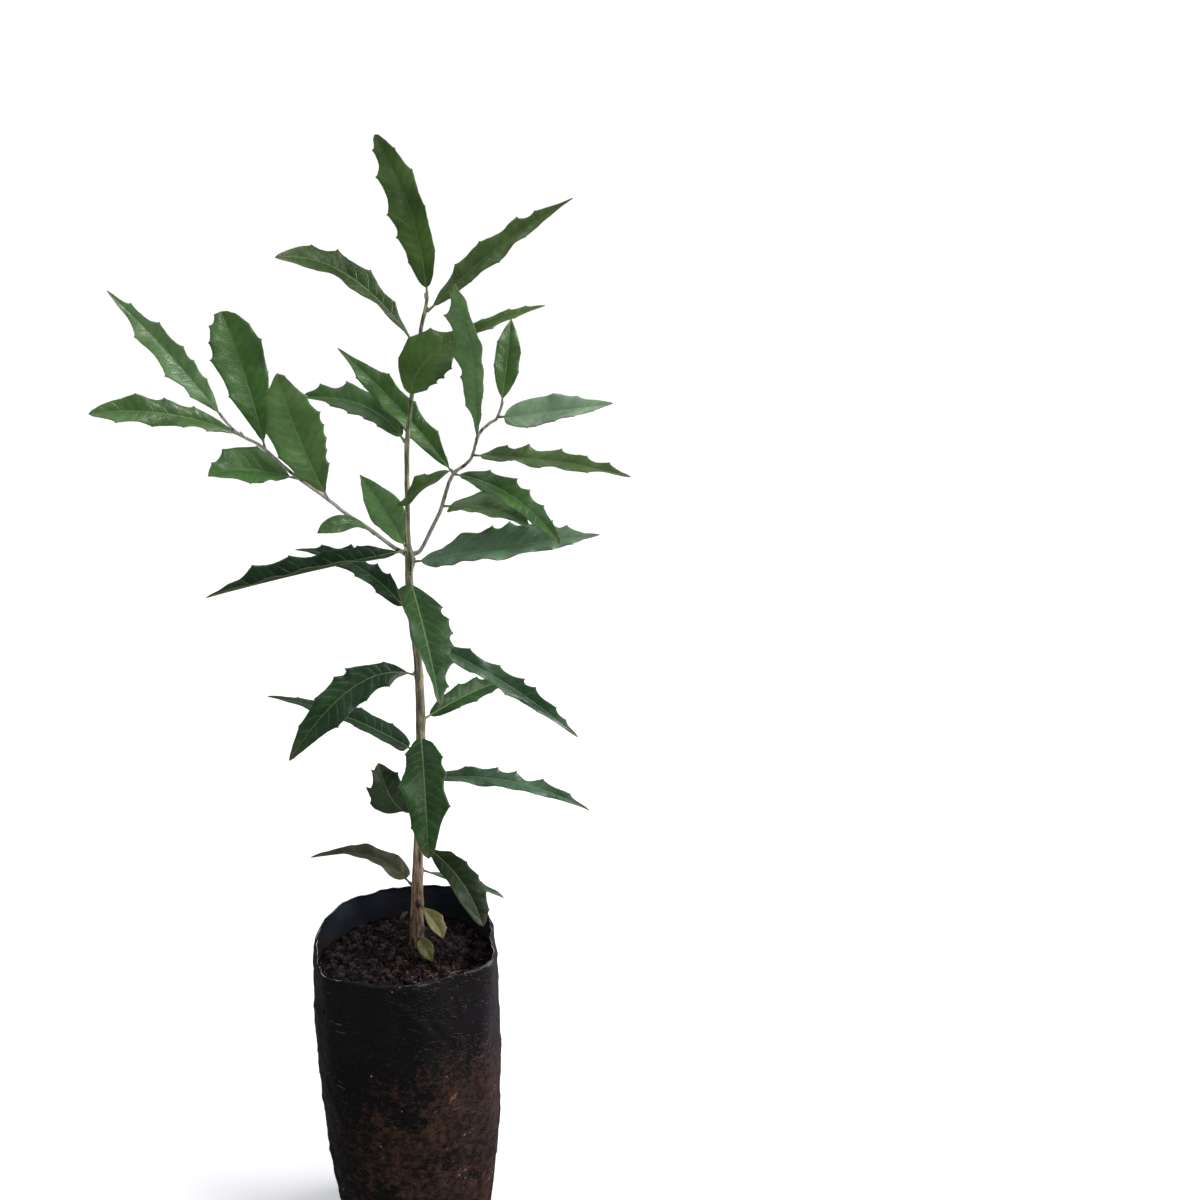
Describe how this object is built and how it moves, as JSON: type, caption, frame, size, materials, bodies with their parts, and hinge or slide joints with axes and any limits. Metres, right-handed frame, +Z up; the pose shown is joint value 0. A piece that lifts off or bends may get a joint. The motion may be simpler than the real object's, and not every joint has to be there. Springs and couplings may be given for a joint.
{
  "type": "potted espinheira-santa sapling",
  "caption": "Young spiny-leaved evergreen tree with one slender stem, two side boughs and toothed leaves, potted in a black nursery bag filled with soil.",
  "frame": {"origin": "centre of the bag's flat underside", "axes": "+Z up along the stem, +X to the right seen from the front, +Y away from the front"},
  "size_m": [0.3169, 0.1483, 0.772],
  "materials": {
    "film": "gloss",
    "potting_mix": "matte",
    "bark": "matte",
    "green_bark": "matte",
    "leaf": "satin",
    "spray": "satin"
  },
  "bodies": {
    "root": {"bag": "film", "soil": "potting_mix", "stem": "bark", "left_bough": "green_bark", "right_bough": "green_bark", "left_bough_leaf": "leaf", "left_spray": "spray", "right_spray": "spray", "leaf_01": "leaf", "leaf_02": "leaf", "leaf_03": "leaf", "leaf_04": "leaf", "leaf_05": "leaf", "leaf_06": "leaf", "leaf_07": "leaf", "leaf_08": "leaf", "leaf_09": "leaf", "leaf_10": "leaf", "leaf_11": "leaf", "leaf_12": "leaf", "leaf_13": "leaf", "leaf_14": "leaf", "leaf_15": "leaf", "leaf_16": "leaf", "leaf_17": "leaf", "leaf_18": "leaf", "leaf_19": "leaf", "leaf_20": "leaf", "leaf_21": "leaf", "leaf_22": "leaf", "leaf_23": "leaf"}
  },
  "joints": []
}
